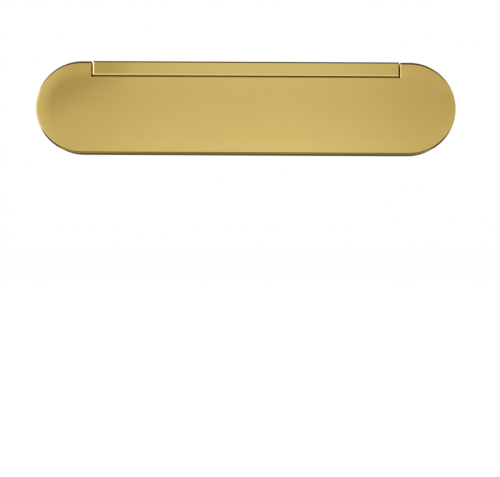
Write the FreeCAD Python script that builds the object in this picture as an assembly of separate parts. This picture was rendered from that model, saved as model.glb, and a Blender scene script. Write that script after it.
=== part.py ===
"""Letter plate: a brass door plate with a sprung outer flap and a black draught flap behind it.

Frame: X runs along the plate, Z is up, and -Y is the outside of the door. The origin is midway
between the two fixing holes, on the door's face, which is the plane y = 0. Units are millimetres.
"""
import FreeCAD, Part
import os

# Driving dimensions ------------------------------------------------------------------------------
PLATE_LENGTH = 340.0
PLATE_HEIGHT = 75.0
PLATE_DEPTH = 6.0
PLATE_FACE = 3.2        # the rest of the depth is the hollow behind the face
PLATE_RIM = 4.0
PLATE_ROUND = 2.0

APERTURE_LENGTH = 268.0
APERTURE_HEIGHT = 41.5
APERTURE_CORNER = 3.0
APERTURE_BEVEL = 0.6

FIXING_SPACING = 310.0
FIXING_HOLE_R = 3.5
FIXING_SINK_R = 5.65
FIXING_BOSS_R = 7.5

FRAME_SCREW_X = 150.0
FRAME_SCREW_Z = 25.0
FRAME_SCREW_R = 1.4
FRAME_SCREW_HEAD_R = 3.1
FRAME_SCREW_HEAD = 1.65
FRAME_SCREW_HOLE_R = 1.7
FRAME_SCREW_SINK_R = 3.25
FRAME_BOSS_R = 3.4

HINGE_UP = 34.8         # height of the outer flap's axis
HINGE_OUT = 2.0         # its distance in front of the plate's face
HINGE_ROD_R = 1.2
BUSH_WALL = 0.6

RAIL_LENGTH = 247.7
RAIL_HEIGHT = 11.2
RAIL_OUT = 7.0
RAIL_WALL = 1.6
RAIL_END_WALL = 4.0
RAIL_TOP_WALL = 0.9
RAIL_BEVEL = 1.0        # across the front, along the ends and the bottom
RAIL_TOP_BEVEL = 1.1
RAIL_BEVEL_DEEP = 0.55
RAIL_SCREW_X = (-110.0, -40.0, 40.0, 110.0)
RAIL_SCREW_Z = 30.0
RAIL_SCREW_R = 1.2
RAIL_SCREW_HEAD_R = 2.45
RAIL_SCREW_HEAD = 1.2
RAIL_SCREW_TIP = 2.4    # from the rail's front
RAIL_PILLAR_R = 2.3
RAIL_HOLE_SKIN = 2.0    # brass left in front of the screw holes

FLAP_THICKNESS = 2.5
FLAP_ROUND = 1.4
FLAP_GAP = 1.1          # beside the rail
FLAP_GAP_LOW = 1.5      # below the rail
LUG_GAP = 1.35          # from the end of the rail
LUG_WIDTH = 5.0
LUG_R = 2.4
LUG_SWING_R = 2.8       # the plate's recess round the lug
LUG_CLEAR = 0.8
LUG_PIN_R = 0.5
BUFFER_X = 141.0
BUFFER_Z = -16.0
BUFFER_R = 4.0
BUFFER_ROUND = 1.2
BUFFER_GAP = 0.1

SPRING_HOLE_SHARE = 1.5     # the hinge rod's cross holes, as a share of the wire's radius
OUTER_SPRING_X = 62.0
OUTER_SPRING_TURNS = 14
OUTER_SPRING_PITCH = 0.62
OUTER_SPRING_COIL_R = 1.5
SPRING_LEG_INSIDE = 0.3     # how far above the axis a leg ends in the rod
SPRING_LEG_CLEAR = 0.5      # from the rail's front wall
SPRING_LEG_DROP = 0.6
SPRING_WIRE_R = 0.2

SLEEVE_HALF_X = 136.0
SLEEVE_LOW = -21.5
SLEEVE_HIGH = 23.5
SLEEVE_WALL = 2.2
SLEEVE_DEPTH = 30.0
SLEEVE_CORNER = 3.0
FLANGE_THICKNESS = 1.8
FLANGE_CLEAR = 0.5      # from the plate's rim
BOSS_CLEAR = 0.5
SEAL_CLEAR = 0.4

DRAUGHT_AXIS_Y = 2.0
DRAUGHT_AXIS_Z = 20.6
DRAUGHT_ROD_R = 1.0
DRAUGHT_LENGTH = 33.0   # from the axis to the bottom of the hem
DRAUGHT_HALF_X = 133.0
DRAUGHT_THICKNESS = 2.0
KNUCKLE_R = 2.2
KNUCKLE_GAP = 1.0       # between a hinge tube and a spring
HEM_R = 1.6
WEIGHT_R = 1.0
WEIGHT_PROUD = 0.4
CLIP_R = 1.85
CLIP_WIDTH = 1.0
ROD_PROUD = 1.7
DRAUGHT_SPRING_X = 96.0
DRAUGHT_SPRING_TURNS = 15
DRAUGHT_SPRING_PITCH = 0.6
DRAUGHT_SPRING_COIL_R = 1.35
DRAUGHT_LEG_BACK = 7.0
DRAUGHT_LEG_DOWN = 9.0

RIB_FRONT_Y = -0.6
RIB_TOP_Z = -17.0
LIP_FRONT_Y = 1.2
LIP_BACK_Y = 3.0
LIP_TOP_Z = -12.7
LIP_ROUND = 0.6
STRIP_HALF_X = 128.0
STRIP_BACK_Y = 4.2
STRIP_TOP_Z = -16.6
STRIP_LOW_Z = -21.1
RIVET_X = (-110.0, -55.0, 0.0, 55.0, 110.0)
RIVET_Z = -19.0
RIVET_R = 1.2
RIVET_SINK_R = 2.2
RIVET_SINK = 1.0
RIVET_HEAD = 0.8

RUNNING_FIT = 0.05
LINE_FIT = 0.02
SCREW_CLEAR = 0.15      # round a screw's shank in its plain hole
SEAT = 0.1              # clearance under a screw head or an edge that must not touch
RECESS_LONG = 0.58      # half a cross recess, as shares of the head's radius and height
RECESS_WIDE = 0.11
RECESS_DEEP = 0.55
BEND_SHARE = 1.25       # the ball at a spring's bend, as a share of its wire's radius
CUT_PAST = 1.0          # how far a cutting tool runs past a face

# Places worked out from the driving dimensions ---------------------------------------------------
FRONT_Y = -PLATE_DEPTH
WEB_BACK_Y = FRONT_Y + PLATE_FACE
TOP_Z = PLATE_HEIGHT / 2
HOLLOW_LENGTH = PLATE_LENGTH - 2 * PLATE_RIM
HOLLOW_HEIGHT = PLATE_HEIGHT - 2 * PLATE_RIM
HINGE_Y = FRONT_Y - HINGE_OUT
FLAP_OUTER_Y = FRONT_Y - RAIL_OUT
FLAP_INNER_Y = FLAP_OUTER_Y + FLAP_THICKNESS
RAIL_LOW_Z = TOP_Z - RAIL_HEIGHT
RAIL_HALF_X = RAIL_LENGTH / 2
LUG_INNER_X = RAIL_HALF_X + LUG_GAP
LUG_OUTER_X = LUG_INNER_X + LUG_WIDTH
LUG_MID_X = LUG_INNER_X + LUG_WIDTH / 2
FLANGE_BACK_Y = WEB_BACK_Y + FLANGE_THICKNESS
SLEEVE_OUTER_X = SLEEVE_HALF_X + SLEEVE_WALL
HEM_Z = DRAUGHT_AXIS_Z - DRAUGHT_LENGTH + HEM_R

X_AXIS = FreeCAD.Vector(1, 0, 0)
Y_AXIS = FreeCAD.Vector(0, 1, 0)
Z_AXIS = FreeCAD.Vector(0, 0, 1)
SIDES = (-1, 1)


# Shape helpers -----------------------------------------------------------------------------------
def vec(x, y, z):
    return FreeCAD.Vector(x, y, z)


def box(x0, x1, y0, y1, z0, z1):
    """A box between two corners."""
    return Part.makeBox(x1 - x0, y1 - y0, z1 - z0, vec(x0, y0, z0))


def rod_x(x0, x1, y, z, radius):
    """A cylinder along X."""
    return Part.makeCylinder(radius, x1 - x0, vec(x0, y, z), X_AXIS)


def rod_y(x, y0, y1, z, radius):
    """A cylinder along Y."""
    return Part.makeCylinder(radius, y1 - y0, vec(x, y0, z), Y_AXIS)


def rod_z(x, y, z0, z1, radius):
    """A cylinder along Z."""
    return Part.makeCylinder(radius, z1 - z0, vec(x, y, z0), Z_AXIS)


def cone_y(x, y0, y1, z, r0, r1):
    """A cone along Y, of radius r0 at y0 and r1 at y1."""
    return Part.makeCone(r0, r1, y1 - y0, vec(x, y0, z), Y_AXIS)


def rounded_block(x0, x1, z0, z1, corner, y0, y1):
    """A rectangle with round corners in the XZ plane, extruded along Y."""
    block = box(x0, x1, y0, y1, z0, z1)
    along_y = [e for e in block.Edges if abs(e.tangentAt(e.FirstParameter).y) > 0.99]
    return block.makeFillet(corner, along_y)


def stadium(length, height, y0, y1):
    """A plate with half-round ends, extruded along Y."""
    radius = height / 2
    straight = length / 2 - radius
    corners = {(sx, sz): vec(sx * straight, y0, sz * radius) for sx in SIDES for sz in SIDES}
    edges = [
        Part.LineSegment(corners[-1, 1], corners[1, 1]).toShape(),
        Part.Arc(corners[1, 1], vec(length / 2, y0, 0), corners[1, -1]).toShape(),
        Part.LineSegment(corners[1, -1], corners[-1, -1]).toShape(),
        Part.Arc(corners[-1, -1], vec(-length / 2, y0, 0), corners[-1, 1]).toShape(),
    ]
    return Part.Face(Part.Wire(edges)).extrude(vec(0, y1 - y0, 0))


def rectangle(half_x, z0, z1, y):
    """A closed wire round a rectangle in the plane y."""
    corners = [vec(-half_x, y, z0), vec(half_x, y, z0), vec(half_x, y, z1), vec(-half_x, y, z1)]
    return Part.makePolygon(corners + corners[:1])


def edges_at_y(shape, y, half_x, half_z):
    """The edges that lie in the plane y, within a window about the origin."""
    near = 1e-4
    found = []
    for edge in shape.Edges:
        bb = edge.BoundBox
        in_plane = abs(bb.YMin - y) < near and abs(bb.YMax - y) < near
        in_x = max(abs(bb.XMin), abs(bb.XMax)) <= half_x
        in_z = max(abs(bb.ZMin), abs(bb.ZMax)) <= half_z
        if in_plane and in_x and in_z:
            found.append(edge)
    return found


def cut_all(shape, tools):
    for tool in tools:
        shape = shape.cut(tool)
    return shape


def fuse_all(shapes):
    joined = shapes[0]
    for shape in shapes[1:]:
        joined = joined.fuse(shape)
    return joined.removeSplitter()


def sunk_screw(x, z, y_head, y_tip, head_r, head_height, shank_r):
    """A countersunk screw along Y, from its head at y_head to y_tip, with a cross recess."""
    inwards = 1 if y_tip > y_head else -1
    neck_y = y_head + inwards * head_height
    if inwards > 0:
        head = cone_y(x, y_head, neck_y, z, head_r, shank_r)
    else:
        head = cone_y(x, neck_y, y_head, z, shank_r, head_r)
    y0, y1 = sorted((neck_y, y_tip))
    screw = head.fuse(rod_y(x, y0, y1, z, shank_r)).removeSplitter()
    half_long = head_r * RECESS_LONG
    half_wide = head_r * RECESS_WIDE
    y0, y1 = sorted((y_head, y_head + inwards * head_height * RECESS_DEEP))
    return cut_all(screw, [
        box(x - half_long, x + half_long, y0, y1, z - half_wide, z + half_wide),
        box(x - half_wide, x + half_wide, y0, y1, z - half_long, z + half_long),
    ])


def torsion_spring(side, near_x, turns, pitch, coil_r, axis_y, axis_z, legs):
    """A torsion spring that winds outwards along X from near_x, with straight legs."""
    helix = Part.makeHelix(pitch, turns * pitch, coil_r)
    section = Part.Wire([Part.makeCircle(SPRING_WIRE_R, vec(coil_r, 0, 0), Y_AXIS)])
    spring = Part.Wire(helix.Edges).makePipeShell([section], True, True)
    spring.rotate(vec(0, 0, 0), Y_AXIS, -90)
    if side > 0:
        spring = spring.mirror(vec(0, 0, 0), X_AXIS)
    spring.translate(vec(side * near_x, axis_y, axis_z))
    bend_r = SPRING_WIRE_R * BEND_SHARE
    for start, end in legs:
        run = end - start
        spring = spring.fuse(Part.makeSphere(bend_r, start))
        spring = spring.fuse(Part.makeCylinder(SPRING_WIRE_R, run.Length, start, run))
    return spring


# The brass plate and its hinge rail --------------------------------------------------------------
def fixing_tools():
    """The two countersunk fixing holes."""
    tools = []
    sink_depth = FIXING_SINK_R - FIXING_HOLE_R
    for side in SIDES:
        x = side * FIXING_SPACING / 2
        tools.append(rod_y(x, FRONT_Y - CUT_PAST, CUT_PAST, 0, FIXING_HOLE_R))
        tools.append(cone_y(x, FRONT_Y, FRONT_Y + sink_depth, 0, FIXING_SINK_R, FIXING_HOLE_R))
    return tools


def frame_screw_tools():
    """The four countersunk holes for the frame's screws."""
    tools = []
    sink_depth = FRAME_SCREW_SINK_R - FRAME_SCREW_HOLE_R
    for side in SIDES:
        for up in SIDES:
            x = side * FRAME_SCREW_X
            z = up * FRAME_SCREW_Z
            sink_y = FRONT_Y + sink_depth
            tools.append(rod_y(x, FRONT_Y - CUT_PAST, CUT_PAST, z, FRAME_SCREW_HOLE_R))
            tools.append(cone_y(x, FRONT_Y, sink_y, z, FRAME_SCREW_SINK_R, FRAME_SCREW_HOLE_R))
    return tools


def rail_screw_tools():
    """The rail's screw holes, countersunk at the back of the plate's face."""
    hole_r = RAIL_SCREW_R + SCREW_CLEAR
    sink_r = hole_r + RAIL_SCREW_HEAD
    tools = []
    for x in RAIL_SCREW_X:
        tools.append(rod_y(x, FRONT_Y - CUT_PAST, CUT_PAST, RAIL_SCREW_Z, hole_r))
        tools.append(cone_y(x, WEB_BACK_Y - RAIL_SCREW_HEAD, WEB_BACK_Y, RAIL_SCREW_Z, hole_r, sink_r))
    return tools


def lug_recess_tools():
    """Shallow recesses in the plate's face, where the flap's lugs turn."""
    low_z = HINGE_UP - LUG_SWING_R
    back_y = HINGE_Y + LUG_SWING_R
    tools = []
    for side in SIDES:
        x0, x1 = sorted((side * (LUG_INNER_X - LUG_CLEAR), side * (LUG_OUTER_X + LUG_CLEAR)))
        tools.append(box(x0, x1, FRONT_Y - CUT_PAST, back_y, low_z, TOP_Z + CUT_PAST))
    return tools


def make_back_plate():
    """The fixed plate: a shallow hollow dish with the letter aperture, bosses and screw holes."""
    plate = stadium(PLATE_LENGTH, PLATE_HEIGHT, FRONT_Y, 0)
    plate = plate.makeFillet(PLATE_ROUND, edges_at_y(plate, FRONT_Y, PLATE_LENGTH, PLATE_HEIGHT))
    hollow = stadium(HOLLOW_LENGTH, HOLLOW_HEIGHT, WEB_BACK_Y, CUT_PAST)
    bosses = [rod_y(side * FIXING_SPACING / 2, WEB_BACK_Y - CUT_PAST, 2 * CUT_PAST, 0, FIXING_BOSS_R)
              for side in SIDES]
    plate = plate.cut(cut_all(hollow, bosses))

    half_x = APERTURE_LENGTH / 2
    half_z = APERTURE_HEIGHT / 2
    past = FRONT_Y - CUT_PAST
    aperture = rounded_block(-half_x, half_x, -half_z, half_z, APERTURE_CORNER, past, CUT_PAST)
    plate = plate.cut(aperture)
    plate = plate.makeChamfer(APERTURE_BEVEL, edges_at_y(plate, FRONT_Y, half_x + SEAT, half_z + SEAT))
    return cut_all(plate, fixing_tools() + frame_screw_tools() + rail_screw_tools() + lug_recess_tools())


def make_hinge_rail():
    """The bar in the flap's notch: hollow at the back, with pillars for its screws."""
    bevel_y = FLAP_OUTER_Y + RAIL_BEVEL_DEEP
    body = box(-RAIL_HALF_X, RAIL_HALF_X, bevel_y, FRONT_Y, RAIL_LOW_Z, TOP_Z)
    outer = rectangle(RAIL_HALF_X, RAIL_LOW_Z, TOP_Z, bevel_y)
    inner = rectangle(RAIL_HALF_X - RAIL_BEVEL, RAIL_LOW_Z + RAIL_BEVEL, TOP_Z - RAIL_TOP_BEVEL,
                      FLAP_OUTER_Y)
    rail = body.fuse(Part.makeLoft([outer, inner], True, True)).removeSplitter()

    inner_half = RAIL_HALF_X - RAIL_END_WALL
    cavity = box(-inner_half, inner_half, FLAP_OUTER_Y + RAIL_WALL, FRONT_Y + CUT_PAST,
                 RAIL_LOW_Z + RAIL_WALL, TOP_Z - RAIL_TOP_WALL)
    pillars = [rod_y(x, FLAP_OUTER_Y, FRONT_Y + CUT_PAST, RAIL_SCREW_Z, RAIL_PILLAR_R)
               for x in RAIL_SCREW_X]
    rail = rail.cut(cut_all(cavity, pillars))

    slot_r = HINGE_ROD_R + BUSH_WALL + RUNNING_FIT
    past = RAIL_HALF_X + CUT_PAST
    bush_slot = rod_x(-past, past, HINGE_Y, HINGE_UP, slot_r)
    way_in = box(-past, past, HINGE_Y, FRONT_Y + CUT_PAST, HINGE_UP - slot_r, HINGE_UP + slot_r)
    hole_r = RAIL_SCREW_R + RUNNING_FIT
    screw_holes = [rod_y(x, FLAP_OUTER_Y + RAIL_HOLE_SKIN, FRONT_Y + CUT_PAST, RAIL_SCREW_Z, hole_r)
                   for x in RAIL_SCREW_X]
    return cut_all(rail, [bush_slot, way_in] + screw_holes)


def make_hinge_bush(side):
    """A nylon bush in one end wall of the rail, for the hinge rod."""
    x0, x1 = sorted((side * (RAIL_HALF_X - RAIL_END_WALL), side * RAIL_HALF_X))
    outer = rod_x(x0, x1, HINGE_Y, HINGE_UP, HINGE_ROD_R + BUSH_WALL)
    return outer.cut(rod_x(x0 - CUT_PAST, x1 + CUT_PAST, HINGE_Y, HINGE_UP, HINGE_ROD_R + RUNNING_FIT))


def make_rail_screws():
    """Countersunk screws from the back of the plate into the rail's pillars."""
    return Part.makeCompound([
        sunk_screw(x, RAIL_SCREW_Z, WEB_BACK_Y - RUNNING_FIT, FLAP_OUTER_Y + RAIL_SCREW_TIP,
                   RAIL_SCREW_HEAD_R, RAIL_SCREW_HEAD, RAIL_SCREW_R)
        for x in RAIL_SCREW_X
    ])


def make_frame_screws():
    """The four small screws that show beside the aperture."""
    return Part.makeCompound([
        sunk_screw(side * FRAME_SCREW_X, up * FRAME_SCREW_Z, FRONT_Y + SEAT, -2 * SEAT,
                   FRAME_SCREW_HEAD_R, FRAME_SCREW_HEAD, FRAME_SCREW_R)
        for side in SIDES for up in SIDES
    ])


# The outer flap and what turns with it -----------------------------------------------------------
def make_outer_flap():
    """The brass flap: the plate's outline, with a notch along its top for the rail."""
    flap = stadium(PLATE_LENGTH, PLATE_HEIGHT, FLAP_OUTER_Y, FLAP_INNER_Y)
    flap = flap.makeFillet(FLAP_ROUND, edges_at_y(flap, FLAP_OUTER_Y, PLATE_LENGTH, PLATE_HEIGHT))
    half = RAIL_HALF_X + FLAP_GAP
    notch = box(-half, half, FLAP_OUTER_Y - CUT_PAST, FLAP_INNER_Y + CUT_PAST,
                RAIL_LOW_Z - FLAP_GAP_LOW, TOP_Z + CUT_PAST)
    return flap.cut(notch)


def make_flap_lug(side):
    """A lug brazed to the back of the flap, beside the rail, that holds the hinge rod."""
    x0, x1 = sorted((side * LUG_INNER_X, side * LUG_OUTER_X))
    lug = rod_x(x0, x1, HINGE_Y, HINGE_UP, LUG_R)
    web = box(x0, x1, FLAP_INNER_Y, HINGE_Y, HINGE_UP - LUG_R, HINGE_UP + LUG_R)
    return cut_all(lug.fuse(web).removeSplitter(), [
        rod_x(x0 - CUT_PAST, x1 + CUT_PAST, HINGE_Y, HINGE_UP, HINGE_ROD_R + LINE_FIT),
        rod_z(side * LUG_MID_X, HINGE_Y, HINGE_UP - 2 * LUG_R, HINGE_UP + 2 * LUG_R, LUG_PIN_R + LINE_FIT),
    ])


def make_hinge_rod():
    """The rod that turns with the flap, cross-drilled for the lug pins and the spring legs."""
    rod = rod_x(-LUG_OUTER_X, LUG_OUTER_X, HINGE_Y, HINGE_UP, HINGE_ROD_R)
    z0 = HINGE_UP - 2 * HINGE_ROD_R
    z1 = HINGE_UP + 2 * HINGE_ROD_R
    tools = []
    for side in SIDES:
        tools.append(rod_z(side * LUG_MID_X, HINGE_Y, z0, z1, LUG_PIN_R + LINE_FIT))
        tools.append(rod_z(side * OUTER_SPRING_X, HINGE_Y, z0, z1, SPRING_WIRE_R * SPRING_HOLE_SHARE))
    return cut_all(rod, tools)


def make_lug_pins():
    """Cross pins that lock the rod in the lugs."""
    reach = LUG_R - 2 * SEAT
    return Part.makeCompound([
        rod_z(side * LUG_MID_X, HINGE_Y, HINGE_UP - reach, HINGE_UP + reach, LUG_PIN_R)
        for side in SIDES
    ])


def make_flap_buffers():
    """Rubber buffers on the back of the flap, which meet the plate when it shuts."""
    buffers = []
    back_y = FRONT_Y - BUFFER_GAP
    for side in SIDES:
        pad = rod_y(side * BUFFER_X, FLAP_INNER_Y, back_y, BUFFER_Z, BUFFER_R)
        buffers.append(pad.makeFillet(BUFFER_ROUND, edges_at_y(pad, back_y, PLATE_LENGTH, PLATE_HEIGHT)))
    return Part.makeCompound(buffers)


def make_outer_spring(side):
    """A torsion spring on the hinge rod: one leg in the rod, one against the rail's front wall."""
    near_x = side * OUTER_SPRING_X
    far_x = side * (OUTER_SPRING_X + OUTER_SPRING_TURNS * OUTER_SPRING_PITCH)
    top_z = HINGE_UP + OUTER_SPRING_COIL_R
    leg_y = FLAP_OUTER_Y + RAIL_WALL + SPRING_LEG_CLEAR
    legs = [
        (vec(near_x, HINGE_Y, top_z), vec(near_x, HINGE_Y, HINGE_UP + SPRING_LEG_INSIDE)),
        (vec(far_x, HINGE_Y, top_z), vec(far_x, leg_y, top_z - SPRING_LEG_DROP)),
    ]
    return torsion_spring(side, OUTER_SPRING_X, OUTER_SPRING_TURNS, OUTER_SPRING_PITCH,
                          OUTER_SPRING_COIL_R, HINGE_Y, HINGE_UP, legs)


# The frame behind the plate ----------------------------------------------------------------------
def sleeve_block(grow, corner, y0, y1):
    """The sleeve's inner section, grown on all sides."""
    half_x = SLEEVE_HALF_X + grow
    return rounded_block(-half_x, half_x, SLEEVE_LOW - grow, SLEEVE_HIGH + grow, corner, y0, y1)


def make_draught_frame():
    """The black moulding: a flange in the plate's hollow and a sleeve that lines the door."""
    length = HOLLOW_LENGTH - 2 * FLANGE_CLEAR
    height = HOLLOW_HEIGHT - 2 * FLANGE_CLEAR
    flange = stadium(length, height, WEB_BACK_Y, FLANGE_BACK_Y)
    sleeve = sleeve_block(SLEEVE_WALL, SLEEVE_CORNER, WEB_BACK_Y, SLEEVE_DEPTH)
    bosses = [rod_y(side * FRAME_SCREW_X, WEB_BACK_Y, -RUNNING_FIT, up * FRAME_SCREW_Z, FRAME_BOSS_R)
              for side in SIDES for up in SIDES]
    outline = stadium(length, height, WEB_BACK_Y, 0)
    bosses = [boss.common(outline) for boss in bosses]
    frame = fuse_all([flange, sleeve] + bosses)

    y0 = WEB_BACK_Y - CUT_PAST
    screw_r = FRAME_SCREW_R + RUNNING_FIT
    tools = [sleeve_block(0, SLEEVE_CORNER / 2, y0, SLEEVE_DEPTH + CUT_PAST)]
    for side in SIDES:
        tools.append(rod_y(side * FIXING_SPACING / 2, y0, CUT_PAST, 0, FIXING_BOSS_R + BOSS_CLEAR))
        for up in SIDES:
            tools.append(rod_y(side * FRAME_SCREW_X, y0, CUT_PAST, up * FRAME_SCREW_Z, screw_r))
    frame = cut_all(frame, tools)

    rib_low = SLEEVE_LOW - SLEEVE_WALL / 2
    rib = box(-SLEEVE_HALF_X, SLEEVE_HALF_X, RIB_FRONT_Y, LIP_FRONT_Y, rib_low, RIB_TOP_Z)
    frame = frame.fuse(rib).removeSplitter()
    past = SLEEVE_OUTER_X + CUT_PAST
    tools = [rod_x(-past, past, DRAUGHT_AXIS_Y, DRAUGHT_AXIS_Z, DRAUGHT_ROD_R + LINE_FIT)]
    for x in RIVET_X:
        tools.append(rod_y(x, RIB_FRONT_Y - CUT_PAST, LIP_FRONT_Y + CUT_PAST, RIVET_Z, RIVET_R + LINE_FIT))
        tools.append(cone_y(x, RIB_FRONT_Y, RIB_FRONT_Y + RIVET_SINK, RIVET_Z, RIVET_SINK_R, RIVET_R))
    return cut_all(frame, tools)


def make_door_seal():
    """The foam ring between the frame's flange and the door."""
    ring = stadium(HOLLOW_LENGTH - 4 * FLANGE_CLEAR, HOLLOW_HEIGHT - 4 * FLANGE_CLEAR, FLANGE_BACK_Y, 0)
    y0 = FLANGE_BACK_Y - CUT_PAST
    fixing_r = FIXING_BOSS_R + 2 * SEAL_CLEAR
    screw_r = FRAME_BOSS_R + SEAL_CLEAR
    tools = [sleeve_block(SLEEVE_WALL + SEAL_CLEAR, SLEEVE_CORNER, y0, CUT_PAST)]
    for side in SIDES:
        tools.append(rod_y(side * FIXING_SPACING / 2, y0, CUT_PAST, 0, fixing_r))
        for up in SIDES:
            tools.append(rod_y(side * FRAME_SCREW_X, y0, CUT_PAST, up * FRAME_SCREW_Z, screw_r))
    return cut_all(ring, tools)


# The lower lip -----------------------------------------------------------------------------------
def rivet_holes():
    return [rod_y(x, LIP_FRONT_Y - CUT_PAST, STRIP_BACK_Y + CUT_PAST, RIVET_Z, RIVET_R + LINE_FIT)
            for x in RIVET_X]


def make_lower_lip():
    """The rubber lip below the draught flap."""
    half_x = SLEEVE_HALF_X - SLEEVE_CORNER / 2
    lip = box(-half_x, half_x, LIP_FRONT_Y, LIP_BACK_Y, SLEEVE_LOW + SEAT, LIP_TOP_Z)
    top = [e for e in lip.Edges if e.BoundBox.ZMin > LIP_TOP_Z - SEAT and e.BoundBox.XLength > half_x]
    return cut_all(lip.makeFillet(LIP_ROUND, top), rivet_holes())


def make_lip_clamp_strip():
    """The steel strip that clamps the lip to the frame's rib."""
    strip = box(-STRIP_HALF_X, STRIP_HALF_X, LIP_BACK_Y, STRIP_BACK_Y, STRIP_LOW_Z, STRIP_TOP_Z)
    return cut_all(strip, rivet_holes())


def make_lip_rivets():
    """Rivets through the rib, the lip and the strip, flush at the front."""
    rivets = []
    neck_y = RIB_FRONT_Y + RIVET_SINK
    for x in RIVET_X:
        rivets.append(fuse_all([
            cone_y(x, RIB_FRONT_Y + RUNNING_FIT, neck_y, RIVET_Z, RIVET_SINK_R - 2 * RUNNING_FIT, RIVET_R),
            rod_y(x, neck_y, STRIP_BACK_Y, RIVET_Z, RIVET_R),
            cone_y(x, STRIP_BACK_Y, STRIP_BACK_Y + RIVET_HEAD, RIVET_Z, RIVET_SINK_R, RIVET_R),
        ]))
    return Part.makeCompound(rivets)


# The draught flap --------------------------------------------------------------------------------
def make_draught_flap():
    """The black inner flap: a panel with hinge tubes along its top and a hem along its bottom."""
    half_t = DRAUGHT_THICKNESS / 2
    flap = fuse_all([
        box(-DRAUGHT_HALF_X, DRAUGHT_HALF_X, DRAUGHT_AXIS_Y - half_t, DRAUGHT_AXIS_Y + half_t,
            HEM_Z, DRAUGHT_AXIS_Z),
        rod_x(-DRAUGHT_HALF_X, DRAUGHT_HALF_X, DRAUGHT_AXIS_Y, HEM_Z, HEM_R),
        rod_x(-DRAUGHT_HALF_X, DRAUGHT_HALF_X, DRAUGHT_AXIS_Y, DRAUGHT_AXIS_Z, KNUCKLE_R),
    ])
    past = DRAUGHT_HALF_X + CUT_PAST
    tools = [
        rod_x(-past, past, DRAUGHT_AXIS_Y, DRAUGHT_AXIS_Z, DRAUGHT_ROD_R + RUNNING_FIT),
        rod_x(-past, past, DRAUGHT_AXIS_Y, HEM_Z, WEIGHT_R + LINE_FIT),
    ]
    spring_length = DRAUGHT_SPRING_TURNS * DRAUGHT_SPRING_PITCH
    near_x = DRAUGHT_SPRING_X - KNUCKLE_GAP
    far_x = DRAUGHT_SPRING_X + spring_length + 2 * KNUCKLE_GAP
    for side in SIDES:
        x0, x1 = sorted((side * near_x, side * far_x))
        tools.append(box(x0, x1, DRAUGHT_AXIS_Y - 2 * KNUCKLE_R, DRAUGHT_AXIS_Y + 2 * KNUCKLE_R,
                         DRAUGHT_AXIS_Z - KNUCKLE_R - CUT_PAST, DRAUGHT_AXIS_Z + 2 * KNUCKLE_R))
    return cut_all(flap, tools)


def make_draught_weight_bar():
    """The steel bar in the flap's hem, whose ends stand a little proud."""
    half = DRAUGHT_HALF_X + WEIGHT_PROUD
    return rod_x(-half, half, DRAUGHT_AXIS_Y, HEM_Z, WEIGHT_R)


def make_draught_rod():
    """The draught flap's fixed rod, through both side walls of the sleeve."""
    half = SLEEVE_OUTER_X + ROD_PROUD
    return rod_x(-half, half, DRAUGHT_AXIS_Y, DRAUGHT_AXIS_Z, DRAUGHT_ROD_R)


def make_draught_rod_clips():
    """Push-on washers on the ends of the draught flap's rod."""
    clips = []
    near_x = SLEEVE_OUTER_X + RUNNING_FIT
    for side in SIDES:
        x0, x1 = sorted((side * near_x, side * (near_x + CLIP_WIDTH)))
        washer = rod_x(x0, x1, DRAUGHT_AXIS_Y, DRAUGHT_AXIS_Z, CLIP_R)
        bore = rod_x(x0 - CUT_PAST, x1 + CUT_PAST, DRAUGHT_AXIS_Y, DRAUGHT_AXIS_Z, DRAUGHT_ROD_R)
        clips.append(washer.cut(bore))
    return Part.makeCompound(clips)


def make_draught_spring(side):
    """A light torsion spring on the draught flap's rod: one leg on the panel, one on the sleeve."""
    near_x = side * DRAUGHT_SPRING_X
    far_x = side * (DRAUGHT_SPRING_X + DRAUGHT_SPRING_TURNS * DRAUGHT_SPRING_PITCH)
    coil_top_z = DRAUGHT_AXIS_Z + DRAUGHT_SPRING_COIL_R
    panel_y = DRAUGHT_AXIS_Y + DRAUGHT_THICKNESS / 2 + SPRING_WIRE_R + SEAT
    bend_y = panel_y + 4 * SEAT
    legs = [
        (vec(near_x, DRAUGHT_AXIS_Y, coil_top_z),
         vec(near_x, DRAUGHT_AXIS_Y + DRAUGHT_LEG_BACK, SLEEVE_HIGH - SPRING_WIRE_R - SEAT)),
        (vec(far_x, DRAUGHT_AXIS_Y, coil_top_z), vec(far_x, bend_y, coil_top_z)),
        (vec(far_x, bend_y, coil_top_z), vec(far_x, panel_y, DRAUGHT_AXIS_Z - DRAUGHT_LEG_DOWN)),
    ]
    return torsion_spring(side, DRAUGHT_SPRING_X, DRAUGHT_SPRING_TURNS, DRAUGHT_SPRING_PITCH,
                          DRAUGHT_SPRING_COIL_R, DRAUGHT_AXIS_Y, DRAUGHT_AXIS_Z, legs)


PARTS = {
    "back_plate": make_back_plate(),
    "hinge_rail": make_hinge_rail(),
    "rail_screws": make_rail_screws(),
    "hinge_bush_left": make_hinge_bush(-1),
    "hinge_bush_right": make_hinge_bush(1),
    "frame_screws": make_frame_screws(),
    "outer_flap": make_outer_flap(),
    "flap_lug_left": make_flap_lug(-1),
    "flap_lug_right": make_flap_lug(1),
    "hinge_rod": make_hinge_rod(),
    "lug_pins": make_lug_pins(),
    "flap_buffers": make_flap_buffers(),
    "outer_spring_left": make_outer_spring(-1),
    "outer_spring_right": make_outer_spring(1),
    "draught_frame": make_draught_frame(),
    "door_seal": make_door_seal(),
    "lower_lip": make_lower_lip(),
    "lip_clamp_strip": make_lip_clamp_strip(),
    "lip_rivets": make_lip_rivets(),
    "draught_flap": make_draught_flap(),
    "draught_weight_bar": make_draught_weight_bar(),
    "draught_rod": make_draught_rod(),
    "draught_rod_clips": make_draught_rod_clips(),
    "draught_spring_left": make_draught_spring(-1),
    "draught_spring_right": make_draught_spring(1),
}

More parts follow.
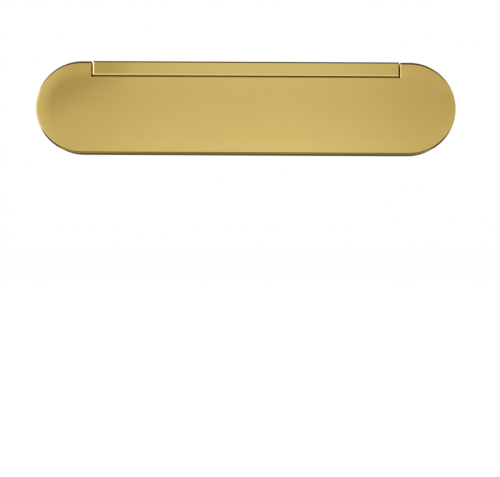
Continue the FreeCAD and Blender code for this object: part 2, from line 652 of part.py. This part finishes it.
os.makedirs("parts", exist_ok=True)
for name, shape in PARTS.items():
    shape.exportStep("parts/" + name + ".step")
    print(f"{name}: {len(shape.Solids)} solids, {shape.Volume / 1000:.2f} cm3, valid {shape.isValid()}")
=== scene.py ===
"""Looks of the brass letter plate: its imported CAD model, finer visible pieces, materials and a plain studio.

Frame: metres, X along the plate, Z up, -Y outside the door; the origin is on the door's face, midway between
the fixing holes.
"""
import math

import bmesh
import bpy
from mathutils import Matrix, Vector


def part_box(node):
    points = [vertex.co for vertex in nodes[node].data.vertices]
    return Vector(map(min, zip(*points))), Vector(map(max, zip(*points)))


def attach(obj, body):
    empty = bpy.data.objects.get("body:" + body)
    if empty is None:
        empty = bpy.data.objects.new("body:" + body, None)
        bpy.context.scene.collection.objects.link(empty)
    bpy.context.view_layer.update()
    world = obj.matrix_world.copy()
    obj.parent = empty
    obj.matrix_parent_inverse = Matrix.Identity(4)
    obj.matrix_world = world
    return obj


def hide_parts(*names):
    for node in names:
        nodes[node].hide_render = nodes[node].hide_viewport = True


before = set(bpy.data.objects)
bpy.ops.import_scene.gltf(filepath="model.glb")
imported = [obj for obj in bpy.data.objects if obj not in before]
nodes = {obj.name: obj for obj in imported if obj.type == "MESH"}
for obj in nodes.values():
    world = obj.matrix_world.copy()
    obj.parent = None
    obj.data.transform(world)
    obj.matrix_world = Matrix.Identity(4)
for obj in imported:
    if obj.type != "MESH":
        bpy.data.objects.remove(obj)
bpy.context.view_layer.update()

MM = 0.001
scene = bpy.context.scene


# Node-tree helpers -------------------------------------------------------------------------------
class Tree:
    """A short way to write shader nodes."""

    def __init__(self, tree):
        self.tree = tree
        tree.nodes.clear()

    def node(self, kind, **settings):
        made = self.tree.nodes.new(kind)
        for name, value in settings.items():
            setattr(made, name, value)
        return made

    def put(self, socket, value):
        if isinstance(value, bpy.types.NodeSocket):
            self.tree.links.new(value, socket)
        else:
            socket.default_value = value

    def math(self, operation, a, b=0.0):
        made = self.node("ShaderNodeMath", operation=operation)
        self.put(made.inputs[0], a)
        self.put(made.inputs[1], b)
        return made.outputs[0]

    def ramp(self, value, low, high, to_low=0.0, to_high=1.0):
        """A smooth step of value from low to high."""
        made = self.node("ShaderNodeMapRange", interpolation_type="SMOOTHSTEP")
        for socket, number in zip(made.inputs, (value, low, high, to_low, to_high)):
            self.put(socket, number)
        return made.outputs[0]

    def mix(self, factor, a, b):
        """Numbers: a where factor is 0, b where it is 1."""
        made = self.node("ShaderNodeMix", data_type="FLOAT")
        self.put(made.inputs[0], factor)
        self.put(made.inputs[2], a)
        self.put(made.inputs[3], b)
        return made.outputs[0]

    def mix_colour(self, factor, a, b, blend="MIX"):
        made = self.node("ShaderNodeMix", data_type="RGBA", blend_type=blend)
        self.put(made.inputs[0], factor)
        self.put(made.inputs[6], a)
        self.put(made.inputs[7], b)
        return made.outputs[2]

    def noise(self, vector, scale, detail=2.0, roughness=0.5, stretch=None):
        if stretch:
            mapping = self.node("ShaderNodeMapping")
            self.put(mapping.inputs["Vector"], vector)
            mapping.inputs["Scale"].default_value = stretch
            vector = mapping.outputs[0]
        made = self.node("ShaderNodeTexNoise")
        self.put(made.inputs["Vector"], vector)
        made.inputs["Scale"].default_value = scale
        made.inputs["Detail"].default_value = detail
        made.inputs["Roughness"].default_value = roughness
        return made.outputs[0]

    def bump(self, height, distance, normal=None):
        made = self.node("ShaderNodeBump")
        made.inputs["Strength"].default_value = 1.0
        made.inputs["Distance"].default_value = distance
        self.put(made.inputs["Height"], height)
        if normal is not None:
            self.put(made.inputs["Normal"], normal)
        return made.outputs[0]


def rgb(r, g, b):
    return (r, g, b, 1.0)


def new_material(name):
    material = bpy.data.materials.new(name)
    material.use_nodes = True
    return material, Tree(material.node_tree)


def shader(tree, constants, linked):
    """A Principled shader with constants set on its sockets, and links for what varies."""
    bsdf = tree.node("ShaderNodeBsdfPrincipled")
    for name, value in constants.items():
        bsdf.inputs[name].default_value = value
    for name, value in linked.items():
        tree.put(bsdf.inputs[name], value)
    out = tree.node("ShaderNodeOutputMaterial")
    tree.tree.links.new(bsdf.outputs[0], out.inputs[0])


def object_coordinates(tree):
    return tree.node("ShaderNodeTexCoord").outputs["Object"]


# Materials ---------------------------------------------------------------------------------------
def brass(name, colour, deep, roughness, waviness, lacquer):
    """Lacquered brass: long polishing pulls, faint hairlines, and painted shade in the corners and gaps."""
    material, t = new_material(name)
    at = object_coordinates(t)
    cloud = t.noise(at, 22.0, 3.0, 0.55)
    hairline = t.noise(at, 1.0, 3.0, 0.6, stretch=(45.0, 900.0, 1500.0))
    speck = t.noise(at, 900.0, 2.0, 0.5)
    # Painted shade: where other surfaces come within 6 mm (corners, gaps, the plate behind the shut flap), the
    # brass colour is mixed towards near-black brown.
    crevice = t.node("ShaderNodeAmbientOcclusion", samples=6)
    crevice.inputs["Distance"].default_value = 6.0 * MM
    painted_shade = t.ramp(crevice.outputs["AO"], 0.28, 0.80, 0.95, 0.0)
    shade = t.mix_colour(t.ramp(cloud, 0.35, 0.7, 0.0, 0.35), colour, deep)
    shade = t.mix_colour(painted_shade, shade, rgb(0.055, 0.026, 0.006))
    rough = t.math("ADD", t.ramp(hairline, 0.3, 0.8, roughness * 0.85, roughness * 1.25),
                   t.ramp(cloud, 0.4, 0.75, 0.0, roughness * 0.3))
    pulls = t.noise(at, 1.0, 1.5, 0.4, stretch=(9.0, 30.0, 42.0))
    normal = t.bump(pulls, waviness)
    normal = t.bump(hairline, 0.0016 * MM, normal)
    normal = t.bump(speck, 0.0010 * MM, normal)
    shader(t, {"Metallic": 1.0, "Coat Weight": lacquer, "Coat Roughness": 0.04, "Coat IOR": 1.5},
           {"Base Color": shade, "Roughness": rough, "Normal": normal})
    return material


def steel(name, colour, roughness, metallic=1.0):
    """Plated or oiled steel, with drawn lines and dull spots."""
    material, t = new_material(name)
    at = object_coordinates(t)
    spots = t.noise(at, 260.0, 4.0, 0.6)
    lines = t.noise(at, 1.0, 2.0, 0.5, stretch=(120.0, 2600.0, 2600.0))
    dull = rgb(*(c * 0.55 for c in colour))
    shade = t.mix_colour(t.ramp(spots, 0.45, 0.75, 0.0, 0.6), rgb(*colour), dull)
    rough = t.ramp(lines, 0.2, 0.8, roughness * 0.8, roughness * 1.35)
    normal = t.bump(lines, 0.004 * MM)
    shader(t, {"Metallic": metallic}, {"Base Color": shade, "Roughness": rough, "Normal": normal})
    return material


def plastic(name, colour, roughness, grain, depth, dust=0.0):
    """Moulded plastic or rubber: a fine grain, soft sink marks, and a trace of dust."""
    material, t = new_material(name)
    at = object_coordinates(t)
    coarse = t.noise(at, 30.0, 3.0, 0.5)
    fine = t.noise(at, grain, 3.0, 0.65)
    light = rgb(*(min(1.0, c * 1.9 + dust) for c in colour))
    shade = t.mix_colour(t.ramp(coarse, 0.35, 0.8, 0.0, 0.5), rgb(*colour), light)
    rough = t.math("ADD", t.ramp(fine, 0.2, 0.8, roughness * 0.85, roughness * 1.15),
                   t.ramp(coarse, 0.3, 0.8, -0.03, 0.05))
    normal = t.bump(fine, depth)
    normal = t.bump(coarse, 0.05 * MM, normal)
    shader(t, {"Metallic": 0.0, "IOR": 1.49, "Specular IOR Level": 0.22},
           {"Base Color": shade, "Roughness": rough, "Normal": normal})
    return material


def foam(name, colour):
    """Open-cell foam, with painted shade in its pores."""
    material, t = new_material(name)
    at = object_coordinates(t)
    cells = t.node("ShaderNodeTexVoronoi", feature="F1")
    t.put(cells.inputs["Vector"], at)
    cells.inputs["Scale"].default_value = 1100.0
    pores = cells.outputs["Distance"]
    # Painted shade: the pore dents are darkened to 0.4 of the foam's own colour.
    shade = t.mix_colour(t.ramp(pores, 0.1, 0.6), rgb(*(c * 0.4 for c in colour)), rgb(*colour))
    normal = t.bump(pores, 0.25 * MM)
    shader(t, {"Metallic": 0.0}, {"Base Color": shade, "Roughness": 0.95, "Normal": normal})
    return material


POLISHED = brass("polished_brass", rgb(0.815, 0.61, 0.185), rgb(0.775, 0.57, 0.165), 0.085, 0.035 * MM, 0.35)
DULL = brass("satin_brass", rgb(0.66, 0.49, 0.24), rgb(0.58, 0.42, 0.19), 0.34, 0.05 * MM, 0.1)
CAST = brass("cast_brass", rgb(0.70, 0.52, 0.20), rgb(0.60, 0.43, 0.15), 0.26, 0.04 * MM, 0.0)
AGED = brass("aged_brass", rgb(0.34, 0.24, 0.09), rgb(0.20, 0.14, 0.05), 0.28, 0.02 * MM, 0.0)
BRIGHT = steel("bright_steel", (0.62, 0.61, 0.58), 0.28)
SPRING = steel("spring_steel", (0.50, 0.50, 0.51), 0.22)
BLACKENED = steel("blackened_steel", (0.055, 0.050, 0.045), 0.38, 0.85)
BLACK = plastic("black_plastic", (0.0042, 0.0032, 0.0026), 0.42, 1500.0, 0.012 * MM)
RUBBER = plastic("black_rubber", (0.0105, 0.0090, 0.0080), 0.60, 900.0, 0.02 * MM, 0.004)
NYLON = plastic("nylon", (0.42, 0.40, 0.34), 0.42, 1200.0, 0.006 * MM)
FOAM = foam("grey_foam", (0.050, 0.050, 0.052))

NODE_MATERIALS = {
    "back_plate": POLISHED, "hinge_rail": POLISHED, "outer_flap": POLISHED,
    "flap_lug_left": CAST, "flap_lug_right": CAST,
    "rail_screws": BRIGHT, "frame_screws": AGED, "hinge_rod": BRIGHT, "lug_pins": BRIGHT,
    "lip_rivets": BLACKENED, "lip_clamp_strip": BRIGHT,
    "draught_rod": BLACKENED, "draught_weight_bar": BRIGHT,
    "draught_rod_clips": SPRING, "outer_spring_left": SPRING, "outer_spring_right": SPRING,
    "draught_spring_left": BLACKENED, "draught_spring_right": BLACKENED,
    "hinge_bush_left": NYLON, "hinge_bush_right": NYLON,
    "flap_buffers": RUBBER, "lower_lip": RUBBER, "draught_frame": BLACK, "draught_flap": BLACK,
    "door_seal": FOAM,
}
for name, material in NODE_MATERIALS.items():
    slots = nodes[name].data.materials
    if not slots:
        slots.append(material)
    for i in range(len(slots)):
        slots[i] = material


# Mesh helpers ------------------------------------------------------------------------------------
SHARP_DEG = 25.0


def mesh_object(name, points, faces, material):
    """A mesh with smooth faces, sharp where it turns by more than SHARP_DEG, and flat large faces."""
    mesh = bpy.data.meshes.new(name)
    mesh.from_pydata(points, [], faces)
    mesh.validate()
    work = bmesh.new()
    work.from_mesh(mesh)
    bmesh.ops.recalc_face_normals(work, faces=work.faces)
    work.to_mesh(mesh)
    work.free()
    mesh.materials.append(material)
    mesh.polygons.foreach_set("use_smooth", [True] * len(mesh.polygons))
    mesh.set_sharp_from_angle(angle=math.radians(SHARP_DEG))
    mesh.update()
    made = bpy.data.objects.new(name, mesh)
    scene.collection.objects.link(made)
    weighted = made.modifiers.new("flat_faces", "WEIGHTED_NORMAL")
    weighted.keep_sharp = True
    weighted.weight = 80
    return made


def bridge(ring_a, ring_b):
    """Quads between two closed rings of point numbers."""
    count = len(ring_a)
    return [(ring_a[i], ring_a[(i + 1) % count], ring_b[(i + 1) % count], ring_b[i]) for i in range(count)]


# The outer flap ----------------------------------------------------------------------------------
FLAP_GAP, FLAP_GAP_LOW = 1.1 * MM, 1.5 * MM      # beside the rail, and below it
DUB_IN, DUB_DEEP = 2.3 * MM, 1.45 * MM           # the quick rounding at the flap's outer edge
SOFT_IN, SOFT_TILT = 9.0 * MM, 0.045             # the slow fall of the face towards it
NOTCH_CHAMFER_DEEP, NOTCH_CHAMFER_SLOPE = 0.28 * MM, 1.30
NOTCH_LOW_SHARE = 0.3                            # the chamfer along the bottom of the notch is smaller
RING_STEP = 0.002 * MM                           # keeps the notch's rings apart
EDGE_TURNS = 10
STRAIGHT_STEPS, ARC_STEPS, NOTCH_STEPS = 4, 72, 60
FACE_ROWS, FACE_COLUMNS = range(-32, 36, 4), range(-162, 163, 6)     # mm: where the face is divided
EDGE, NOTCH, FACE, BACK = range(4)               # kinds of polygon


def soft_fall(inset):
    """How far the polished face has fallen back at a distance from the outline, and its slope there."""
    left = max(0.0, DUB_IN + SOFT_IN - inset)
    return SOFT_TILT * left * left / (2 * SOFT_IN), SOFT_TILT * left / SOFT_IN


def flap_profile(front, back):
    """(inset, notch chamfer, y, outward part and front part of the normal), from the back to the face."""
    rows = [
        (0.35 * MM, 0.25 * MM, back, 0.6, -0.8),
        (0.08 * MM, 0.06 * MM, back - 0.1 * MM, 0.9, -0.4),
        (0.0, 0.0, back - 0.3 * MM, 1.0, 0.0),
    ]
    for i in range(EDGE_TURNS + 1):
        a = math.pi / 2 * i / EDGE_TURNS
        inset = DUB_IN * (1 - math.cos(a))
        fall, slope = soft_fall(inset)
        y = front + DUB_DEEP * (1 - math.sin(a)) + fall
        out_part = math.cos(a) / DUB_IN + slope * math.sin(a) / DUB_DEEP
        chamfer = max(0.0, NOTCH_CHAMFER_DEEP - (y - fall - front)) * NOTCH_CHAMFER_SLOPE
        rows.append((inset, chamfer + RING_STEP * i, y, out_part, math.sin(a) / DUB_DEEP))
    return rows


class FlapOutline:
    """The flap's stadium, with the notch that its rail stands in."""

    def __init__(self):
        self.low, self.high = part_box("outer_flap")
        rail_low, rail_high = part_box("hinge_rail")
        self.radius = (self.high.z - self.low.z) / 2
        self.mid_z = (self.high.z + self.low.z) / 2
        self.straight = self.high.x - self.radius
        self.notch_half = rail_high.x + FLAP_GAP
        self.notch_z = rail_low.z - FLAP_GAP_LOW

    def top_run(self, start, end, y, z, count):
        return [(start + (end - start) * i / STRAIGHT_STEPS, y, z) for i in range(count)]

    def end_arc(self, side, radius, y):
        """Clockwise round one end, seen from the front."""
        angles = [side * math.pi / 2 - math.pi * i / ARC_STEPS for i in range(ARC_STEPS)]
        centre = side * self.straight
        return [(centre + radius * math.cos(a), y, self.mid_z + radius * math.sin(a)) for a in angles]

    def ring(self, inset, chamfer, y):
        """The outline at depth y, drawn in by inset, with its notch grown by the chamfer."""
        radius = self.radius - inset
        top, low = self.mid_z + radius, self.mid_z - radius
        half = self.notch_half + chamfer
        flat_y = y - (soft_fall(inset)[0] if y < self.high.y - MM else 0.0)
        notch_z = self.notch_z - chamfer * NOTCH_LOW_SHARE
        points = self.top_run(half, self.straight, y, top, STRAIGHT_STEPS)
        points += self.end_arc(1, radius, y)
        points += [(self.straight - 2 * self.straight * i / NOTCH_STEPS, y, low) for i in range(NOTCH_STEPS)]
        points += self.end_arc(-1, radius, y)
        points += self.top_run(-self.straight, -half, y, top, STRAIGHT_STEPS + 1)
        return points + [(-half, flat_y, notch_z), (half, flat_y, notch_z)]

    def outward(self, x, z):
        """The way out from the flap's middle line, and the distance from its outline."""
        side = Vector((max(0.0, abs(x) - self.straight) * (1 if x > 0 else -1), 0.0, z - self.mid_z))
        return side.normalized(), self.radius - side.length


def flap_polygons(rings):
    """Polygons between the rings, over the back and over the face, and the kind of each."""
    faces, kinds = [], []
    size = len(rings[0])
    for a, b in zip(rings, rings[1:]):
        faces.extend(bridge(b, a))
        kinds.extend([NOTCH if i >= size - 3 else EDGE for i in range(size)])
    faces += [tuple(rings[0]), tuple(reversed(rings[-1]))]
    return faces, kinds + [BACK, FACE]


def divide_face(mesh, kinds, outline):
    """Divide the polished face into small polygons and let it fall softly towards its edge."""
    work = bmesh.new()
    work.from_mesh(mesh)
    kind_of = work.faces.layers.int.new("kind")
    work.faces.ensure_lookup_table()
    for polygon, kind in zip(work.faces, kinds):
        polygon[kind_of] = kind
    cuts = [(Vector((0, 0, outline.mid_z + z * MM)), Vector((0, 0, 1))) for z in FACE_ROWS]
    cuts += [(Vector((x * MM, 0, 0)), Vector((1, 0, 0))) for x in FACE_COLUMNS]
    for place, normal in cuts:
        parts = [f for f in work.faces if f[kind_of] == FACE]
        parts += list({e for f in parts for e in f.edges}) + list({v for f in parts for v in f.verts})
        bmesh.ops.bisect_plane(work, geom=parts, dist=1e-7, plane_co=place, plane_no=normal)
    rim = {v for f in work.faces if f[kind_of] != FACE for v in f.verts}
    for vert in work.verts:
        if vert not in rim:
            _, inset = outline.outward(vert.co.x, vert.co.z)
            vert.co.y = outline.low.y + soft_fall(inset)[0]
    work.to_mesh(mesh)
    work.free()


def smooth_flap(mesh, profile, outline):
    """Exact normals for the edge and the face, flat ones elsewhere, and duller brass on the back."""
    parts_at = {round(y * 1e7): (out_part, front_part) for _, _, y, out_part, front_part in profile}
    kind_layer = mesh.attributes["kind"].data
    normals = []
    for polygon in mesh.polygons:
        polygon.use_smooth = True
        kind = kind_layer[polygon.index].value
        polygon.material_index = 1 if kind == BACK else 0
        for corner in polygon.loop_indices:
            spot = mesh.vertices[mesh.loops[corner].vertex_index].co
            out, inset = outline.outward(spot.x, spot.z)
            if kind == EDGE:
                out_part, front_part = parts_at[round(spot.y * 1e7)]
                normals.append((out * out_part + Vector((0, -front_part, 0))).normalized())
            elif kind == FACE:
                normals.append((out * soft_fall(inset)[1] + Vector((0, -1, 0))).normalized())
            else:
                normals.append(polygon.normal.copy())
    mesh.normals_split_custom_set(normals)


def make_flap():
    """The brass flap: dubbed outer edge, face that falls softly towards it, crisp notch and duller back."""
    outline = FlapOutline()
    profile = flap_profile(outline.low.y, outline.high.y)
    points, rings = [], []
    for inset, chamfer, y, _, _ in profile:
        ring = outline.ring(inset, chamfer, y)
        rings.append(list(range(len(points), len(points) + len(ring))))
        points.extend(ring)
    faces, kinds = flap_polygons(rings)
    mesh = bpy.data.meshes.new("outer_flap_brass")
    mesh.from_pydata(points, [], faces)
    divide_face(mesh, kinds, outline)
    mesh.materials.append(POLISHED)
    mesh.materials.append(DULL)
    smooth_flap(mesh, profile, outline)
    flap = bpy.data.objects.new("outer_flap_brass", mesh)
    scene.collection.objects.link(flap)
    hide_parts("outer_flap")
    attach(flap, "outer_flap")


make_flap()


# The lower lip -----------------------------------------------------------------------------------
LIP_SHOULDER_R = 0.55 * MM
LIP_FIN_HALF, LIP_FIN_CLEAR = 0.24 * MM, 0.06 * MM
LIP_GROOVE_HALF = 0.20 * MM
LIP_GROOVES = (-13.9, -14.9, -15.9)          # heights in mm
ROUND_STEPS = 6


def arc(centre_y, centre_z, radius, start_deg, end_deg):
    """Points of an arc in the YZ plane."""
    turn = math.radians(end_deg - start_deg) / ROUND_STEPS
    angles = [math.radians(start_deg) + turn * i for i in range(ROUND_STEPS + 1)]
    return [(centre_y + radius * math.cos(a), centre_z + radius * math.sin(a)) for a in angles]


def make_lip():
    """The rubber lip: a grooved front, round shoulders, and a fin that almost meets the draught flap."""
    low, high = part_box("lower_lip")
    fin_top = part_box("draught_flap")[0].z - LIP_FIN_CLEAR
    mid_y = (low.y + high.y) / 2
    outline = [(high.y, low.z), (low.y, low.z)]
    for height in reversed(LIP_GROOVES):
        outline += arc(low.y, height * MM, LIP_GROOVE_HALF, -90, 90)
    outline += arc(low.y + LIP_SHOULDER_R, high.z - LIP_SHOULDER_R, LIP_SHOULDER_R, 180, 90)
    outline += arc(mid_y, fin_top - LIP_FIN_HALF, LIP_FIN_HALF, 180, 0)
    outline += arc(high.y - LIP_SHOULDER_R, high.z - LIP_SHOULDER_R, LIP_SHOULDER_R, 90, 0)
    count = len(outline)
    points = [(x, y, z) for x in (low.x, high.x) for y, z in outline]
    faces = bridge(range(count), range(count, 2 * count))
    faces += [tuple(range(count)), tuple(reversed(range(count, 2 * count)))]
    lip = mesh_object("lower_lip_rubber", points, faces, RUBBER)
    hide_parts("lower_lip")
    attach(lip, "plate")


make_lip()


# Studio ------------------------------------------------------------------------------------------
FLOOR_HALF, FLOOR_Z = 30.0, -0.50     # m


def make_floor():
    """A wide pale floor below the plate."""
    signs = ((-1, -1), (1, -1), (1, 1), (-1, 1))
    corners = [(FLOOR_HALF * i, FLOOR_HALF * j, FLOOR_Z) for i, j in signs]
    mesh = bpy.data.meshes.new("floor")
    mesh.from_pydata(corners, [], [(0, 1, 2, 3)])
    floor = bpy.data.objects.new("floor", mesh)
    scene.collection.objects.link(floor)
    material, t = new_material("pale_floor")
    grain = t.noise(object_coordinates(t), 6.0, 2.0)
    shade = t.mix_colour(grain, rgb(0.985, 0.985, 0.985), rgb(1.0, 1.0, 0.995))
    shader(t, {}, {"Base Color": shade, "Roughness": 0.9})
    mesh.materials.append(material)
    floor.visible_glossy = False


TENT_RADIUS = 3.0                # m
TENT_RINGS, TENT_SEGMENTS = 24, 48


def tent_mesh():
    """A sphere round the whole set."""
    points, faces = [], []
    for i in range(TENT_RINGS + 1):
        polar = math.pi * i / TENT_RINGS
        flat = TENT_RADIUS * math.sin(polar)
        for j in range(TENT_SEGMENTS):
            around = 2 * math.pi * j / TENT_SEGMENTS
            points.append((flat * math.cos(around), flat * math.sin(around), TENT_RADIUS * math.cos(polar)))
    for i in range(TENT_RINGS):
        ring = [i * TENT_SEGMENTS + j for j in range(TENT_SEGMENTS)]
        faces += [(a, b, b + TENT_SEGMENTS, a + TENT_SEGMENTS) for a, b in zip(ring, ring[1:] + ring[:1])]
    mesh = bpy.data.meshes.new("tent")
    mesh.from_pydata(points, [], faces)
    mesh.validate()
    return mesh


# The tent's brightness is given by the direction (x, y, z) from its middle, each from -1 to 1.
def front_level(t, x, z):
    """Brightest low down and just right of the middle, a little darker at mid height."""
    level = t.math("MULTIPLY", t.ramp(z, 0.150, 0.070), t.ramp(x, -0.25, -0.12, 0.04, 0.10))
    level = t.math("ADD", level, 0.715)
    level = t.math("ADD", level, t.ramp(z, 0.158, 0.182, 0.0, 0.055))
    level = t.math("SUBTRACT", level, t.ramp(x, 0.06, 0.26, 0.0, 0.17))
    level = t.math("SUBTRACT", level, t.ramp(x, 0.02, -0.30, 0.0, 0.12))
    # A darker shape, high on the left.
    above = t.math("SUBTRACT", z, t.math("ADD", 0.254, t.math("MULTIPLY", x, 0.50)))
    dark = t.math("MULTIPLY", t.ramp(above, -0.018, 0.004), t.ramp(x, -0.140, -0.170))
    dark = t.math("MULTIPLY", dark, t.ramp(x, -0.285, -0.245))
    dark = t.math("MULTIPLY", dark, t.ramp(above, 0.010, 0.030, 1.0, 0.42))
    level = t.math("SUBTRACT", level, t.math("MULTIPLY", dark, 0.25))
    # Further out on the left the front grows bright again.
    level = t.math("ADD", level, t.ramp(x, -0.250, -0.40, 0.0, 0.16))
    # Lower down it is dark but for a bright strip of the table, and high up it is dark too.
    table = t.math("MULTIPLY", t.ramp(z, -0.68, -0.71), t.ramp(z, -0.80, -0.77))
    level = t.mix(t.ramp(z, -0.25, -0.34), level, t.mix(table, 0.12, 0.95))
    return t.mix(t.ramp(z, 0.42, 0.62), level, 0.08)


def back_level(t, z):
    """Dim, with one overhead strip."""
    strip = t.math("MULTIPLY", t.ramp(z, 0.50, 0.60), t.ramp(z, 0.92, 0.80))
    level = t.mix(strip, t.ramp(z, 0.0, -0.20, 0.20, 0.11), 0.75)
    level = t.mix(t.ramp(z, -0.80, -0.92), level, 0.16)
    return t.mix(t.ramp(z, 0.90, 0.96), level, 0.14)


def side_screens(t, x, z):
    """Where the two white screens are, and how bright: the left has a narrow lamp, the right a narrow gap."""
    from_middle = t.math("ABSOLUTE", t.math("SUBTRACT", z, 0.10))
    screen = t.math("MULTIPLY", t.ramp(t.math("ABSOLUTE", x), 0.66, 0.80), t.ramp(from_middle, 0.44, 0.30))
    lamp = t.math("MULTIPLY", t.ramp(x, -0.87, -0.90), t.ramp(x, -0.96, -0.93))
    gap = t.math("MULTIPLY", t.ramp(x, 0.87, 0.90), t.ramp(x, 0.96, 0.93))
    return screen, t.mix(gap, t.mix(lamp, 0.68, 2.1), 0.32)


def tent_material():
    material, t = new_material("tent_light")
    place = t.node("ShaderNodeVectorMath", operation="SCALE")
    t.put(place.inputs[0], object_coordinates(t))
    place.inputs["Scale"].default_value = 1 / TENT_RADIUS
    split = t.node("ShaderNodeSeparateXYZ")
    t.put(split.inputs[0], place.outputs[0])
    x, y, z = split.outputs
    level = t.mix(t.ramp(y, -0.20, 0.08), front_level(t, x, z), back_level(t, z))
    screen, white = side_screens(t, x, z)
    level = t.mix(screen, level, white)

    light = t.node("ShaderNodeEmission")
    tint = t.mix_colour(t.ramp(level, 0.45, 0.80), rgb(1.07, 1.0, 0.86), rgb(1.0, 1.0, 1.02))
    t.put(light.inputs["Color"], tint)
    t.put(light.inputs["Strength"], level)
    out = t.node("ShaderNodeOutputMaterial")
    t.tree.links.new(light.outputs[0], out.inputs[0])
    return material


def make_tent():
    """A soft studio tent that only reflections see: bright at the front and sides, dark above and behind."""
    mesh = tent_mesh()
    tent = bpy.data.objects.new("tent", mesh)
    scene.collection.objects.link(tent)
    mesh.materials.append(tent_material())
    tent.visible_camera = False
    tent.visible_diffuse = False
    tent.visible_shadow = False
    tent.visible_transmission = False
    tent.visible_volume_scatter = False


LAMP_SIZE = 1.4                       # m


def make_light(name, place, energy):
    """A square lamp that shines on the plate and isn't itself reflected."""
    data = bpy.data.lights.new(name, "AREA")
    data.shape = "SQUARE"
    data.size = LAMP_SIZE
    data.energy = energy
    made = bpy.data.objects.new(name, data)
    made.location = place
    made.rotation_mode = "QUATERNION"
    made.rotation_quaternion = (-Vector(place)).to_track_quat("-Z", "Y")
    made.visible_glossy = False
    scene.collection.objects.link(made)


def make_world():
    """Plain white all round."""
    world = bpy.data.worlds.new("white")
    world.use_nodes = True
    t = Tree(world.node_tree)
    background = t.node("ShaderNodeBackground")
    background.inputs["Color"].default_value = rgb(1.0, 1.0, 1.0)
    background.inputs["Strength"].default_value = 1.0
    out = t.node("ShaderNodeOutputWorld")
    t.tree.links.new(background.outputs[0], out.inputs[0])
    scene.world = world
    scene.view_settings.view_transform = "Standard"


CAMERA_DISTANCE = 0.80                # m, from the shut flap's face
CAMERA_X, CAMERA_Z = 3.9 * MM, -105.5 * MM
CAMERA_ROLL_DEG = -0.27
WIDTH_IN_VIEW = 0.4042                # m, at the shut flap's face
SENSOR_WIDTH = 36.0                   # mm


def make_camera():
    """Straight ahead and a little below the plate, so that the plate stands high in the frame."""
    face_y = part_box("outer_flap")[0].y
    data = bpy.data.cameras.new("camera")
    data.sensor_width = SENSOR_WIDTH
    data.lens = SENSOR_WIDTH * CAMERA_DISTANCE / WIDTH_IN_VIEW
    data.clip_start = 0.01
    camera = bpy.data.objects.new("camera", data)
    camera.location = (CAMERA_X, face_y - CAMERA_DISTANCE, CAMERA_Z)
    camera.rotation_euler = (math.radians(90), math.radians(CAMERA_ROLL_DEG), 0)
    scene.collection.objects.link(camera)
    scene.camera = camera


make_floor()
make_tent()
make_light("key", (-1.4, -1.8, 1.6), 45.0)
make_light("fill", (1.6, -1.6, 0.8), 25.0)
make_light("back", (0.6, 2.0, 1.4), 25.0)
make_world()
make_camera()
